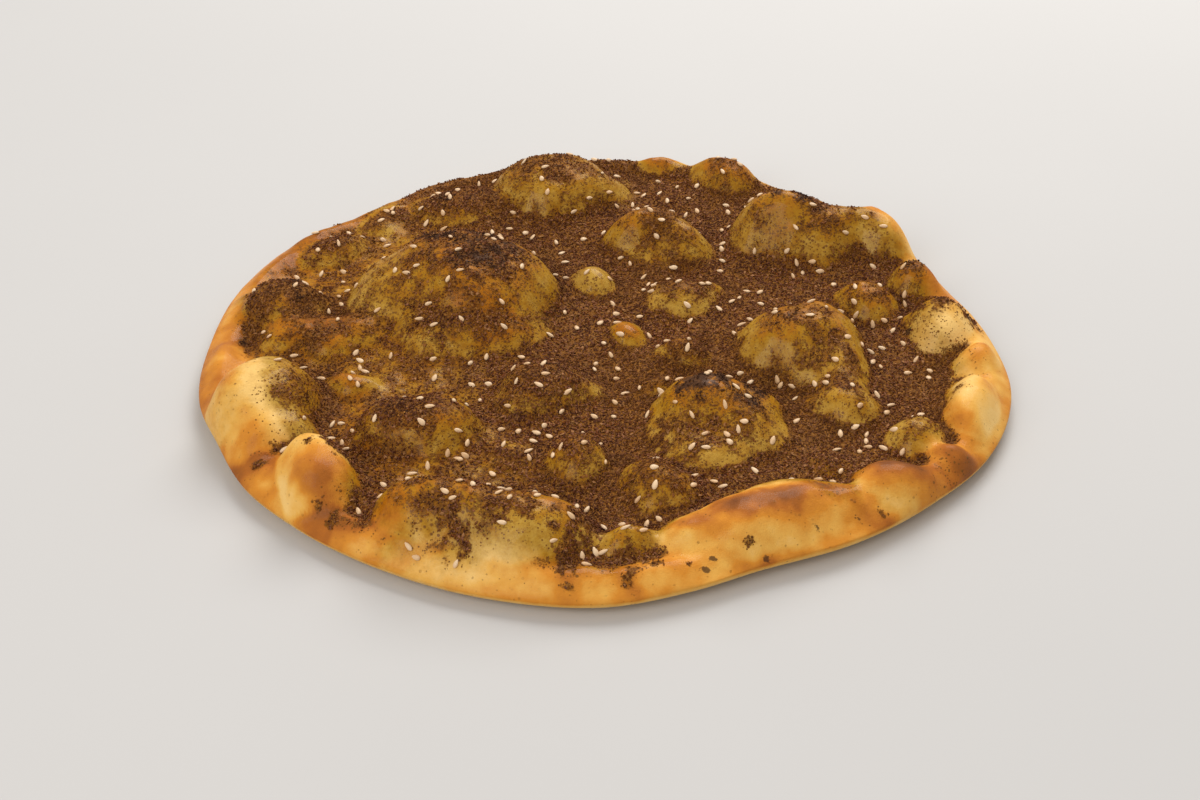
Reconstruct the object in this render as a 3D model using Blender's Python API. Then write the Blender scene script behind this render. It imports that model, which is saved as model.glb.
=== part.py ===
"""A za'atar manakish: one round flatbread, puffed up in bubbles, with sesame seeds baked on.

The bread rests on its flat underside. The origin is at the middle of its box, at the bottom,
+Z is up and -Y is the side nearest the eater. Sizes are in millimetres until the meshes are made,
and MM turns them into Blender's metres.
"""

import math
from collections import namedtuple

import bmesh
import bpy
import numpy as np
from mathutils import Matrix, Vector

MM = 0.001

# Dough sheet
SHEET_TOP = 7.0  # level of the dough between the bubbles
LIP_RISE = 5.0  # how far the pinched lip stands above the sheet
LIP_INSET = 7.5  # from the outline in to the lip's crest
LIP_WIDTH = 6.0  # half width of the lip's ridge
EDGE_ROUND = 12.0  # width of the rounding on the top of the outer edge
EDGE_FULLNESS = 2.3  # 2 is an ellipse, and more is squarer
EDGE_LEVEL = 4.4  # height of the bread's widest line
UNDER_ROUND = 16.0  # width of the rounding under the outer edge

# Where the baked edge has lifted off its support: bearing and half width in degrees, and height
EDGE_LIFTS = (
    (300.0, 34.0, 2.6),
    (190.0, 40.0, 1.6),
    (60.0, 45.0, 1.2),
)

# The outline seen from above: bearing from +X in degrees, and radius
OUTLINE = (
    (0, 144),
    (15, 138.5),
    (30, 138),
    (45, 138.5),
    (60, 138),
    (75, 141),
    (90, 141),
    (105, 140),
    (120, 139),
    (135, 138),
    (150, 143.5),
    (165, 146),
    (180, 146),
    (195, 148),
    (205, 146),
    (215, 146.5),
    (225, 144.5),
    (240, 142.5),
    (255, 142),
    (270, 141.5),
    (281, 137.5),
    (292, 134.5),
    (305, 138),
    (320, 142),
    (333, 147),
    (348, 148),
)

Bubble = namedtuple("Bubble", "x y half_length half_width turn height boxy")

# Bubbles and rim lumps: centre, half sizes, turn of the long side from +X in degrees, height
# above the sheet, and how square the dome is, where 1 is an ellipsoid
BUBBLES = (
    # the great bubble, its shoulder and the skirt in front of it
    Bubble(-52, 26, 34, 29, -12, 27, 1.35),
    Bubble(-74, 20, 24, 24, 0, 18, 1.0),
    Bubble(-54, 8, 37, 25, 0, 14, 1.1),
    # the left side, from back to front
    Bubble(-93, 86, 15, 9, 40, 5, 1.0),
    Bubble(-110, 60, 17, 11, 50, 8, 1.0),
    Bubble(-117, 16, 17, 15, 20, 15, 1.2),
    Bubble(-105, 2, 26, 13, 0, 10, 1.0),
    Bubble(-119, -44, 24, 18, 72, 19, 1.2),
    Bubble(-90, -28, 12, 8, 0, 6, 1.0),
    Bubble(-116, -63, 17, 15, 60, 13, 1.0),
    Bubble(-94, -90, 20, 14, 140, 19, 1.1),
    # the front rim
    Bubble(-54, -111, 23, 16, 165, 19, 1.2),
    Bubble(-38, -113, 18, 15, 0, 15, 1.0),
    Bubble(-22, -115, 20, 15, 175, 16, 1.1),
    Bubble(-2, -127, 10, 6, 0, 3.5, 1.0),
    Bubble(51, -109, 39, 16, 17, 14, 1.2),
    Bubble(95, -91, 18, 13, 35, 12, 1.0),
    # the right rim
    Bubble(115, -74, 9, 8, 0, 9, 1.0),
    Bubble(128, -48, 19, 12, 72, 13, 1.3),
    Bubble(135, -20, 11, 9, 80, 10, 1.2),
    Bubble(123, 0, 15, 14, 0, 16, 1.2),
    Bubble(121, 32, 12, 11, 0, 15, 1.1),
    # the back rim
    Bubble(109, 62, 15, 13, 120, 17, 1.2),
    Bubble(79, 66, 29, 19, -8, 20, 1.1),
    Bubble(70, 70, 16, 14, 0, 23, 1.0),
    Bubble(97, 64, 17, 15, 0, 17, 1.0),
    Bubble(50, 119, 15, 13, -10, 14, 1.1),
    Bubble(27, 129, 14, 7, 0, 8, 1.0),
    Bubble(-19, 107, 30, 22, 0, 19, 1.2),
    Bubble(-62, 94, 25, 13, 10, 9, 1.0),
    # the middle, from back to front
    Bubble(26, 61, 20, 16, -32, 15, 1.0),
    Bubble(18, 68, 15, 12, -10, 17, 1.0),
    Bubble(-6, 36, 10, 10.5, 0, 9.5, 1.1),
    Bubble(29, 23, 16, 14, 0, 10, 1.0),
    Bubble(101, 18, 12.5, 11.5, 0, 12, 1.1),
    Bubble(9, 0, 9.5, 8.5, 0, 7, 1.1),
    Bubble(28, -12, 11, 10, 0, 8.5, 1.1),
    Bubble(16, -33, 7.5, 7, 0, 7, 1.0),
    Bubble(70, -8, 25, 19, -15, 20, 1.2),
    Bubble(77, -22, 22, 16, -60, 13, 1.0),
    Bubble(81, -43, 12.5, 12, 0, 10, 1.0),
    Bubble(-22, -35, 19, 15, 0, 12, 1.1),
    Bubble(40, -53, 25, 19, -8, 17, 1.2),
    Bubble(39, -62, 27, 18, 0, 11, 1.0),
    Bubble(-64, -57, 20, 16, 0, 14, 1.1),
    Bubble(-31, -69, 13, 8, 0, 3, 1.0),
    Bubble(-10, -77, 12.5, 12, 0, 11, 1.1),
    Bubble(18, -89, 14.5, 13.5, 0, 10, 1.1),
    Bubble(5, -115, 12, 10, 0, 10, 1.0),
    Bubble(105, -61, 12.5, 11, 0, 9.5, 1.1),
    Bubble(75, -80, 9, 7, 0, 5, 1.0),
)

# Unevenness of the dough
DOME_FLATNESS = 0.72  # 0.5 gives a dome with upright sides, and 1 a softer one
SKIRT = 0.38  # how much of its height a bubble's soft skirt would reach at the middle
WARP_WAVE, WARP_REACH = 27.0, 4.0  # sideways wander of the bubbles' sides
RIPPLE_WAVE, RIPPLE_REACH = 11.0, 2.2  # the same, finer
SWELL_WAVE, SWELL_RISE = 17.0, 1.2  # slow rise and fall of the whole top
PIMPLE_WAVE, PIMPLE_RISE = 6.0, 0.6  # small dents and pimples
CELL = 1.0  # spacing of the height grid
SOFTNESS = 1.7  # spread of the blur that rounds each crease
JOIN_POWER = 4.0  # how sharply neighbouring bubbles meet

# Mesh of the bread
RINGS = 64  # rings of points on the top before thinning
EDGE_RINGS = 7  # rings across the rounded edge, on each face
SECTORS = 6  # points added with each ring
BREAD_TRIANGLES = 5760

# Sesame seeds
SEED_LENGTH, SEED_WIDTH, SEED_THICKNESS = 3.4, 2.1, 1.3
SEED_COUNT = 150
SEED_SUNK = 0.25  # share of its thickness that a seed's middle stands above the dough
SEED_GAP = 4.0  # least distance between two seeds' middles

# The bare rim, which the topping and its seeds don't reach: bearing in degrees, and width
BARE_RIM = (
    (0, 24),
    (12, 15),
    (20, 8),
    (33, 14),
    (45, 7),
    (60, 6),
    (75, 6),
    (90, 5),
    (120, 4),
    (135, 4),
    (150, 5),
    (165, 8),
    (180, 11),
    (190, 22),
    (200, 24),
    (207, 20),
    (214, 24),
    (223, 30),
    (231, 13),
    (237, 12),
    (243, 11),
    (251, 13),
    (260, 13),
    (267, 9),
    (273, 12),
    (280, 26),
    (290, 31),
    (300, 27),
    (307, 10),
    (314, 22),
    (322, 20),
    (330, 16),
    (338, 24),
    (346, 22),
    (353, 20),
)

BREAD_COLOUR = (0.36, 0.19, 0.055, 1.0)


def make_material(name, colour, roughness):
    """A plain Principled finish."""
    material = bpy.data.materials.new(name)
    material.use_nodes = True
    shader = material.node_tree.nodes["Principled BSDF"]
    shader.inputs["Base Color"].default_value = colour
    shader.inputs["Roughness"].default_value = roughness
    shader.inputs["Metallic"].default_value = 0.0
    material.diffuse_color = colour
    return material


def around(table, bearing):
    """A table's value at each bearing in radians: a smooth closed curve through its entries."""
    angles, values = np.array(table, float).T
    count = len(angles)
    turn = np.degrees(bearing) % 360.0
    before = np.searchsorted(angles, turn, side="right") - 1
    ends = [(before + step) % count for step in (-1, 0, 1, 2)]
    span = (angles[ends[2]] - angles[ends[1]]) % 360.0
    t = ((turn - angles[ends[1]]) % 360.0) / span
    first, second, third, fourth = (values[end] for end in ends)
    return 0.5 * (
        2 * second
        + (third - first) * t
        + (2 * first - 5 * second + 4 * third - fourth) * t**2
        + (3 * second - first - 3 * third + fourth) * t**3
    )


def outline_radius(bearing):
    """Radius of the outline at each bearing in radians."""
    return around(OUTLINE, bearing)


def lattice_noise(x, y, wave, seed):
    """Smooth random waves from -1 to 1, about one wave length apart."""
    side = 64
    values = np.random.default_rng(seed).uniform(-1.0, 1.0, (side, side))
    across, up = x / wave + side / 2, y / wave + side / 2
    column, row = np.floor(across).astype(int), np.floor(up).astype(int)
    s, t = across - column, up - row
    s, t = s * s * (3 - 2 * s), t * t * (3 - 2 * t)
    corner = [values[(row + j) % side, (column + i) % side] for j in (0, 1) for i in (0, 1)]
    low = corner[0] * (1 - s) + corner[1] * s
    high = corner[2] * (1 - s) + corner[3] * s
    return low * (1 - t) + high * t


def wander(x, y, seed):
    """Sideways shift in millimetres that makes the bubbles' outlines uneven."""
    wide = WARP_REACH * lattice_noise(x, y, WARP_WAVE, seed)
    return wide + RIPPLE_REACH * lattice_noise(x, y, RIPPLE_WAVE, seed + 1)


def dome_height(x, y, bubble):
    """Height of one bubble above the sheet, fading out round it."""
    turn = math.radians(bubble.turn)
    along = (x - bubble.x) * math.cos(turn) + (y - bubble.y) * math.sin(turn)
    across = (y - bubble.y) * math.cos(turn) - (x - bubble.x) * math.sin(turn)
    reach = (along / bubble.half_length) ** 2 + (across / bubble.half_width) ** 2
    dome = np.clip(1.0 - reach**bubble.boxy, 0.0, 1.0) ** DOME_FLATNESS
    return bubble.height * np.maximum(dome, SKIRT * np.exp(-reach))


def blurred(grid, spread):
    """The grid with each value averaged over its neighbours by a bell curve."""
    reach = int(3 * spread) + 1
    bell = np.exp(-0.5 * (np.arange(-reach, reach + 1) / spread) ** 2)
    bell /= bell.sum()
    for axis in (0, 1):
        grid = np.apply_along_axis(lambda line: np.convolve(line, bell, mode="same"), axis, grid)
    return grid


def height_grid():
    """Heights of the bread's top on a square grid, before the outer edge is rounded."""
    reach = max(radius for _, radius in OUTLINE) + 8 * CELL
    line = np.arange(-reach, reach + CELL, CELL)
    x, y = np.meshgrid(line, line)
    warped_x = x + wander(x, y, 11)
    warped_y = y + wander(x, y, 21)
    inset = outline_radius(np.arctan2(y, x)) - np.hypot(x, y)
    lip = LIP_RISE * np.exp(-(((inset - LIP_INSET) / LIP_WIDTH) ** 2))
    total = lip**JOIN_POWER
    for bubble in BUBBLES:
        total = total + dome_height(warped_x, warped_y, bubble) ** JOIN_POWER
    rise = total ** (1 / JOIN_POWER)
    swell = SWELL_RISE * lattice_noise(x, y, SWELL_WAVE, 13)
    pimples = PIMPLE_RISE * lattice_noise(x, y, PIMPLE_WAVE, 14)
    return line, blurred(SHEET_TOP + rise + swell + pimples, SOFTNESS / CELL)


LINE, HEIGHTS = height_grid()


def sheet_height(x, y):
    """The height grid read between its points."""
    across = np.clip((x - LINE[0]) / CELL, 0, len(LINE) - 1.001)
    up = np.clip((y - LINE[0]) / CELL, 0, len(LINE) - 1.001)
    column, row = across.astype(int), up.astype(int)
    s, t = across - column, up - row
    near = HEIGHTS[row, column] * (1 - s) + HEIGHTS[row, column + 1] * s
    far = HEIGHTS[row + 1, column] * (1 - s) + HEIGHTS[row + 1, column + 1] * s
    return near * (1 - t) + far * t


def edge_level(bearing):
    """Height of the bread's widest line, which is more where the edge has lifted."""
    level = np.full_like(bearing, EDGE_LEVEL)
    for middle, half, lift in EDGE_LIFTS:
        off = (np.degrees(bearing) - middle + 180.0) % 360.0 - 180.0
        level = level + lift * np.exp(-((off / half) ** 2))
    return level


def rounding(inset, width):
    """0 on the outline, rising steeply to 1 at width inside it."""
    depth = np.clip(1.0 - inset / width, 0.0, 1.0)
    return (1.0 - depth**EDGE_FULLNESS) ** (1.0 / EDGE_FULLNESS)


def top_height(x, y):
    """Height of the bread's top, with its outer edge rounded."""
    bearing = np.arctan2(y, x)
    inset = outline_radius(bearing) - np.hypot(x, y)
    edge = edge_level(bearing)
    return edge + (sheet_height(x, y) - edge) * rounding(inset, EDGE_ROUND)


def under_height(x, y):
    """Height of the bread's underside: 0 where it rests."""
    bearing = np.arctan2(y, x)
    inset = outline_radius(bearing) - np.hypot(x, y)
    return edge_level(bearing) * (1.0 - rounding(inset, UNDER_ROUND))


def ring_shares():
    """Shares of the radius at which the rings lie, close together at the rounded edge."""
    inner = 1.0 - EDGE_ROUND / max(radius for _, radius in OUTLINE)
    plain = np.linspace(0.0, inner, RINGS)[1:]
    swing = np.linspace(0.0, math.pi / 2, EDGE_RINGS + 1)[1:]
    return np.concatenate([plain, inner + (1.0 - inner) * np.sin(swing)])


def ring_points(share, count, height):
    """Points of one ring, as an array of x, y and z."""
    bearing = np.arange(count) * 2 * math.pi / count
    radius = outline_radius(bearing) * share
    x, y = radius * np.cos(bearing), radius * np.sin(bearing)
    return np.stack([x, y, height(x, y)], axis=1)


def stitch(mesh, inner, outer):
    """Fills the band between two rings with triangles. The outer ring has as many points or more."""
    i = j = 0
    while i < len(inner) or j < len(outer):
        a, b = inner[i % len(inner)], outer[j % len(outer)]
        if i == len(inner) or (j < len(outer) and (j + 1) * len(inner) <= (i + 1) * len(outer)):
            mesh.faces.new((a, b, outer[(j + 1) % len(outer)]))
            j += 1
        else:
            if len(inner) > 1:
                mesh.faces.new((a, b, inner[(i + 1) % len(inner)]))
            i += 1


def make_bread(material):
    """The bread's body: rings of points over the top, round the edge and under it, then thinned."""
    mesh = bmesh.new()
    shares = ring_shares()
    widest = SECTORS * RINGS
    counts = [min(SECTORS * (step + 1), widest) for step in range(len(shares))]
    crown = np.array([0.0])
    ring = [mesh.verts.new((0.0, 0.0, top_height(crown, crown)[0] * MM))]
    for share, count in zip(shares, counts):
        outer = [mesh.verts.new(point * MM) for point in ring_points(share, count, top_height)]
        stitch(mesh, ring, outer)
        ring = outer
    under = [0.985, 0.965, 0.94, 0.91, 0.87, 0.6]
    for share in under:
        inner = [mesh.verts.new(point * MM) for point in ring_points(share, widest, under_height)]
        stitch(mesh, inner, ring)
        ring = inner
    mesh.faces.new(ring[::-1])
    bmesh.ops.triangulate(mesh, faces=[face for face in mesh.faces if len(face.verts) > 3])
    bmesh.ops.recalc_face_normals(mesh, faces=mesh.faces)
    data = bpy.data.meshes.new("zaatar_manakish")
    mesh.to_mesh(data)
    mesh.free()
    data.materials.append(material)
    bread = bpy.data.objects.new("zaatar_manakish", data)
    bpy.context.scene.collection.objects.link(bread)
    thin = bread.modifiers.new("Thin out", "DECIMATE")
    thin.ratio = BREAD_TRIANGLES / len(data.polygons)
    apply_modifiers(bread)
    return bread


def apply_modifiers(thing):
    """Turns what an object's modifiers make of it into its own mesh."""
    graph = bpy.context.evaluated_depsgraph_get()
    made = bpy.data.meshes.new_from_object(thing.evaluated_get(graph))
    thing.modifiers.clear()
    thing.data = made


def seed_places(count):
    """Where the seeds lie: x, y and the bearing of their long side, drawn evenly over the topping."""
    draw = np.random.default_rng(2024)
    places = []
    while len(places) < count:
        bearing, share, turn = draw.random(3) * (2 * math.pi, 1.0, math.pi)
        way = np.array([bearing])
        radius = outline_radius(way)[0] * math.sqrt(share)
        x, y = radius * math.cos(bearing), radius * math.sin(bearing)
        topped = outline_radius(way)[0] - radius > around(BARE_RIM, way)[0] + SEED_LENGTH / 2
        if topped and all(math.hypot(x - px, y - py) > SEED_GAP for px, py, _ in places):
            places.append((x, y, turn))
    return places


def surface_normal(x, y):
    """Upward direction of the bread's top at a point."""
    step = 1.5
    x, y = np.array([x]), np.array([y])
    slope_x = (top_height(x + step, y) - top_height(x - step, y))[0] / (2 * step)
    slope_y = (top_height(x, y + step) - top_height(x, y - step))[0] / (2 * step)
    return Vector((-slope_x, -slope_y, 1.0)).normalized()


def make_seeds(bread):
    """One small faceted seed at each place, lying on the bread's faces and partly sunk in them."""
    group = bpy.data.collections.new("Seeds")
    bpy.context.scene.collection.children.link(group)
    mesh = bmesh.new()
    size = Vector((SEED_LENGTH, SEED_WIDTH, SEED_THICKNESS)) * 0.5 * MM
    bmesh.ops.create_icosphere(mesh, subdivisions=1, radius=1.0, matrix=Matrix.Diagonal(size).to_4x4())
    data = bpy.data.meshes.new("Seed")
    mesh.to_mesh(data)
    mesh.free()
    data.materials.append(bread.data.materials[0])
    for number, (x, y, turn) in enumerate(seed_places(SEED_COUNT)):
        normal = surface_normal(x, y)
        _, surface, _, _ = bread.ray_cast(Vector((x, y, 100.0)) * MM, Vector((0.0, 0.0, -1.0)))
        middle = surface + normal * SEED_THICKNESS * SEED_SUNK * MM
        seed = bpy.data.objects.new(f"Seed_{number}", data)
        turned = normal.to_track_quat("Z", "X").to_matrix() @ Matrix.Rotation(turn, 3, "Z")
        seed.matrix_world = Matrix.Translation(middle) @ turned.to_4x4()
        group.objects.link(seed)
    return group


def fuse(bread, group):
    """Joins the seeds to the bread as one solid and removes the loose ones."""
    joined = bread.modifiers.new("Seeds", "BOOLEAN")
    joined.operation = "UNION"
    joined.operand_type = "COLLECTION"
    joined.collection = group
    joined.solver = "MANIFOLD"
    bpy.context.view_layer.update()
    apply_modifiers(bread)
    for seed in list(group.objects):
        bpy.data.objects.remove(seed)
    bpy.data.collections.remove(group)


def main():
    for thing in list(bpy.data.objects):
        bpy.data.objects.remove(thing)
    crust = make_material("Baked dough with za'atar", BREAD_COLOUR, 0.6)
    bread = make_bread(crust)
    fuse(bread, make_seeds(bread))
    bread.data.shade_smooth()
    bread.data.set_sharp_from_angle(angle=math.radians(40))


main()
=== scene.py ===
# %% [markdown]
# # A za'atar manakish, cell by cell
# A manakish is a round of soft dough, pressed out by hand, spread with olive oil and a crumb of dried
# herbs, sumac and sesame, and baked fast on a hot stone. The heat puffs the dough up in bubbles.
# The bread here is one dense mesh that repeats the solid's own shape at a finer spacing. The crumbs and
# the seeds are real little meshes on top of it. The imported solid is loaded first, as a fixed frame.

import math
from collections import namedtuple

import bmesh
import bpy
import numpy as np
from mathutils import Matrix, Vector


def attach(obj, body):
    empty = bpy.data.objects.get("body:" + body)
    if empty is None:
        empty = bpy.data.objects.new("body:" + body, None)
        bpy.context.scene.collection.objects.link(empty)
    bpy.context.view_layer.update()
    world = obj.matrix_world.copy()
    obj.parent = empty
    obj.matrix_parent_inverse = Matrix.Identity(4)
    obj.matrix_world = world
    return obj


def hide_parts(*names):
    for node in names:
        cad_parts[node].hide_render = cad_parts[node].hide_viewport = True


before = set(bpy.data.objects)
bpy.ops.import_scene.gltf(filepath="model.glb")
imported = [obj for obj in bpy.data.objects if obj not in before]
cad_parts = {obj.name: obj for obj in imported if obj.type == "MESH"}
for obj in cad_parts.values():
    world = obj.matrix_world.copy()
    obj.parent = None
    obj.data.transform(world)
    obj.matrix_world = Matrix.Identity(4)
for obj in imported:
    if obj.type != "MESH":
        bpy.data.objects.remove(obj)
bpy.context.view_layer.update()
MM = 0.001

# %% [markdown]
# ## The camera
# The camera comes first, because everything is judged through it. It stands about 60 cm from the bread
# and looks down at it by 36 degrees, as someone at a table does.

# %% Camera
LOOK_AT = Vector((-1.8, -28.2, 0.0)) * MM
DISTANCE = 599.0 * MM
PITCH = math.radians(35.8)

lens = bpy.data.cameras.new("Camera")
lens.lens, lens.sensor_width = 50.0, 36.0
lens.clip_start, lens.clip_end = 0.01, 50.0
camera = bpy.data.objects.new("Camera", lens)
camera.location = LOOK_AT + Vector((0.0, -math.cos(PITCH), math.sin(PITCH))) * DISTANCE
camera.rotation_euler = (math.pi / 2 - PITCH, 0.0, 0.0)
bpy.context.scene.collection.objects.link(camera)
bpy.context.scene.camera = camera
print("Camera at", [round(v, 3) for v in camera.location])

# %% [markdown]
# ## The outline and the bare rim
# Pressed by hand, the dough is never a true circle. A circle with random waves would do, but this bread's
# own flats and corners are what make it look hand made. So a table gives its radius at a few bearings, in
# degrees and millimetres, and a smooth closed curve runs through them. A second table says how wide the
# rim is that the baker leaves bare. A third says where the edge lifts: the middle bearing, how far the
# lift spreads to each side, and its height.

# %% Tables round the bread
OUTLINE = (
    (0, 144), (15, 138.5), (30, 138), (45, 138.5), (60, 138), (75, 141), (90, 141),
    (105, 140), (120, 139), (135, 138), (150, 143.5), (165, 146), (180, 146),
    (195, 148), (205, 146), (215, 146.5), (225, 144.5), (240, 142.5), (255, 142),
    (270, 141.5), (281, 137.5), (292, 134.5), (305, 138), (320, 142), (333, 147),
    (348, 148),
)
BARE_RIM = (
    (0, 24), (12, 15), (20, 8), (33, 14), (45, 7), (60, 6), (75, 6), (90, 5), (120, 4),
    (135, 4), (150, 5), (165, 8), (180, 11), (190, 22), (200, 24), (207, 20), (214, 24),
    (223, 30), (231, 13), (237, 12), (243, 11), (251, 13), (260, 13), (267, 9),
    (273, 12), (280, 26), (290, 31), (300, 27), (307, 10), (314, 22), (322, 20),
    (330, 16), (338, 24), (346, 22), (353, 20),
)
EDGE_LIFTS = ((300.0, 34.0, 2.6), (190.0, 40.0, 1.6), (60.0, 45.0, 1.2))


def around(table, bearing):
    """A table's value at each bearing in radians: a smooth closed curve through its entries."""
    angles, values = np.array(table, float).T
    count = len(angles)
    turn = np.degrees(bearing) % 360.0
    before = np.searchsorted(angles, turn, side="right") - 1
    ends = [(before + step) % count for step in (-1, 0, 1, 2)]
    span = (angles[ends[2]] - angles[ends[1]]) % 360.0
    t = ((turn - angles[ends[1]]) % 360.0) / span
    first, second, third, fourth = (values[end] for end in ends)
    return 0.5 * (
        2 * second
        + (third - first) * t
        + (2 * first - 5 * second + 4 * third - fourth) * t**2
        + (3 * second - first - 3 * third + fourth) * t**3
    )


def smooth_step(low, high, value):
    """0 below low, 1 above high, and an easy curve between them."""
    t = np.clip((value - low) / (high - low), 0.0, 1.0)
    return t * t * (3 - 2 * t)


print("Radius at the front:", round(float(around(OUTLINE, np.radians([270.0]))[0]), 1), "mm")

# %% [markdown]
# ## The bubbles
# Steam blows the dough up in bubbles. They could be sculpted one by one with a brush, but a row of
# numbers is easier to compare and to change. Each bubble is a dome on an ellipse, and boxy above 1 gives
# it fuller shoulders. Its row also says how it baked: how much crumb stayed on it, how toasted its top
# is, how charred its crest is, and how much oil ran down its bare side, each from 0 to 1. Where two domes
# meet, a power mean joins them in a soft valley, as stretched dough does.

# %% Bubbles
names = "x y half_length half_width turn height boxy crumbs toast char oil"
Bubble = namedtuple("Bubble", names, defaults=(0.0,))

BUBBLES = (
    # the great bubble, its shoulder and the skirt in front of it
    Bubble(-52, 26, 34, 29, -12, 27, 1.35, 0.42, 0.45, 0.6),
    Bubble(-74, 20, 24, 24, 0, 18, 1.0, 0.3, 0.3, 0.1),
    Bubble(-54, 8, 37, 25, 0, 14, 1.1, 0.51, 0.26, 0),
    # the left side, from back to front
    Bubble(-93, 86, 15, 9, 40, 5, 1.0, 0.55, 0.5, 0),
    Bubble(-110, 60, 17, 11, 50, 8, 1.0, 0.55, 0.45, 0),
    Bubble(-117, 16, 17, 15, 20, 15, 1.2, 0.9, 0.4, 0.5),
    Bubble(-105, 2, 26, 13, 0, 10, 1.0, 0.38, 0.68, 0),
    Bubble(-119, -44, 24, 18, 72, 19, 1.2, 0.2, 0.05, 0, 0.3),
    Bubble(-90, -28, 12, 8, 0, 6, 1.0, 0.3, 0.5, 0),
    Bubble(-116, -63, 17, 15, 60, 13, 1.0, 0.1, 0, 0),
    Bubble(-94, -90, 20, 14, 140, 19, 1.1, 0, 0.08, 0),
    # the front rim, where the oil on its bubbles also darkens their steep faces as painted shade
    Bubble(-54, -111, 23, 16, 165, 19, 1.2, 0.45, 0.5, 0.3, 0.6),
    Bubble(-38, -113, 18, 15, 0, 15, 1.0, 0.4, 0.38, 0.1, 0.6),
    Bubble(-22, -115, 20, 15, 175, 16, 1.1, 0.22, 0.34, 0.2, 0.6),
    Bubble(-2, -127, 10, 6, 0, 3.5, 1.0, 0.3, 0.3, 0),
    Bubble(51, -109, 39, 16, 17, 14, 1.2, 0, 0.25, 0),
    Bubble(95, -91, 18, 13, 35, 12, 1.0, 0, 0.34, 0.1),
    # the right rim
    Bubble(115, -74, 9, 8, 0, 9, 1.0, 0, 0.5, 0),
    Bubble(128, -48, 19, 12, 72, 13, 1.3, 0, 0.04, 0),
    Bubble(135, -20, 11, 9, 80, 10, 1.2, 0, 0.3, 0),
    Bubble(123, 0, 15, 14, 0, 16, 1.2, 0.06, 0, 0, 0.15),
    Bubble(121, 32, 12, 11, 0, 15, 1.1, 0.6, 0.5, 0.5),
    # the back rim
    Bubble(109, 62, 15, 13, 120, 17, 1.2, 0.35, 0.05, 0.1),
    Bubble(79, 66, 29, 19, -8, 20, 1.1, 0.4, 0.35, 0.5),
    Bubble(70, 70, 16, 14, 0, 23, 1.0, 0.5, 0.4, 0.8),
    Bubble(97, 64, 17, 15, 0, 17, 1.0, 0.4, 0.25, 0.2),
    Bubble(50, 119, 15, 13, -10, 14, 1.1, 0.35, 0.45, 0.1),
    Bubble(27, 129, 14, 7, 0, 8, 1.0, 0.3, 0.3, 0),
    Bubble(-19, 107, 30, 22, 0, 19, 1.2, 0.45, 0.35, 0.3),
    Bubble(-62, 94, 25, 13, 10, 9, 1.0, 0.6, 0.5, 0.4),
    # the middle, from back to front
    Bubble(26, 61, 20, 16, -32, 15, 1.0, 0.5, 0.35, 0.3),
    Bubble(18, 68, 15, 12, -10, 17, 1.0, 0.45, 0.5, 0.3),
    Bubble(-6, 36, 10, 10.5, 0, 9.5, 1.1, 0.2, 0, 0),
    Bubble(29, 23, 16, 14, 0, 10, 1.0, 0.5, 0.3, 0.1),
    Bubble(101, 18, 12.5, 11.5, 0, 12, 1.1, 0.42, 0.45, 0.2),
    Bubble(9, 0, 9.5, 8.5, 0, 7, 1.1, 0.25, 0.55, 0.1),
    Bubble(28, -12, 11, 10, 0, 8.5, 1.1, 0.65, 0.35, 0.3),
    Bubble(16, -33, 7.5, 7, 0, 7, 1.0, 0.55, 0.4, 0),
    Bubble(70, -8, 25, 19, -15, 20, 1.2, 0.36, 0.45, 0.35),
    Bubble(77, -22, 22, 16, -60, 13, 1.0, 0.35, 0.2, 0.1),
    Bubble(81, -43, 12.5, 12, 0, 10, 1.0, 0.42, 0.3, 0),
    Bubble(-22, -35, 19, 15, 0, 12, 1.1, 0.65, 0.3, 0.3),
    Bubble(40, -53, 25, 19, -8, 17, 1.2, 0.35, 0.6, 0.95),
    Bubble(39, -62, 27, 18, 0, 11, 1.0, 0.38, 0.15, 0),
    Bubble(-64, -57, 20, 16, 0, 14, 1.1, 0.62, 0.5, 0.3),
    Bubble(-31, -69, 13, 8, 0, 3, 1.0, 0.7, 0.2, 0),
    Bubble(-10, -77, 12.5, 12, 0, 11, 1.1, 0.55, 0.4, 0.3),
    Bubble(18, -89, 14.5, 13.5, 0, 10, 1.1, 0.62, 0.45, 0.2),
    Bubble(5, -115, 12, 10, 0, 10, 1.0, 0.22, 0.35, 0.1, 0.6),
    Bubble(105, -61, 12.5, 11, 0, 9.5, 1.1, 0.38, 0.15, 0.1, 0.3),
    Bubble(75, -80, 9, 7, 0, 5, 1.0, 0.5, 0.25, 0),
)


def dome_height(x, y, bubble):
    """Height of one bubble above the sheet, fading out round it."""
    turn = math.radians(bubble.turn)
    along = (x - bubble.x) * math.cos(turn) + (y - bubble.y) * math.sin(turn)
    across = (y - bubble.y) * math.cos(turn) - (x - bubble.x) * math.sin(turn)
    reach = (along / bubble.half_length) ** 2 + (across / bubble.half_width) ** 2
    dome = np.clip(1.0 - reach**bubble.boxy, 0.0, 1.0) ** 0.72
    return bubble.height * np.maximum(dome, 0.38 * np.exp(-reach))


print(len(BUBBLES), "bubbles, the tallest", max(bubble.height for bubble in BUBBLES), "mm above the sheet")

# %% [markdown]
# ## Single spots
# Some marks follow no rule: crumb that fell on the rim, an orange patch that baked harder, a scorched
# fleck. Each has a row with its place, its half widths and what it adds there: thick crumb, toast, char,
# oil, and a thin dust of crumb. Toast below 0 leaves the dough paler, and oil below 0 leaves it dry. A few
# rows also paint light: paler dough as painted highlights, browner or oily dough as painted shade.

# %% Spots
Spot = namedtuple("Spot", "x y half_x half_y crumbs toast char oil dust", defaults=(0.0,) * 4)

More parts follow.
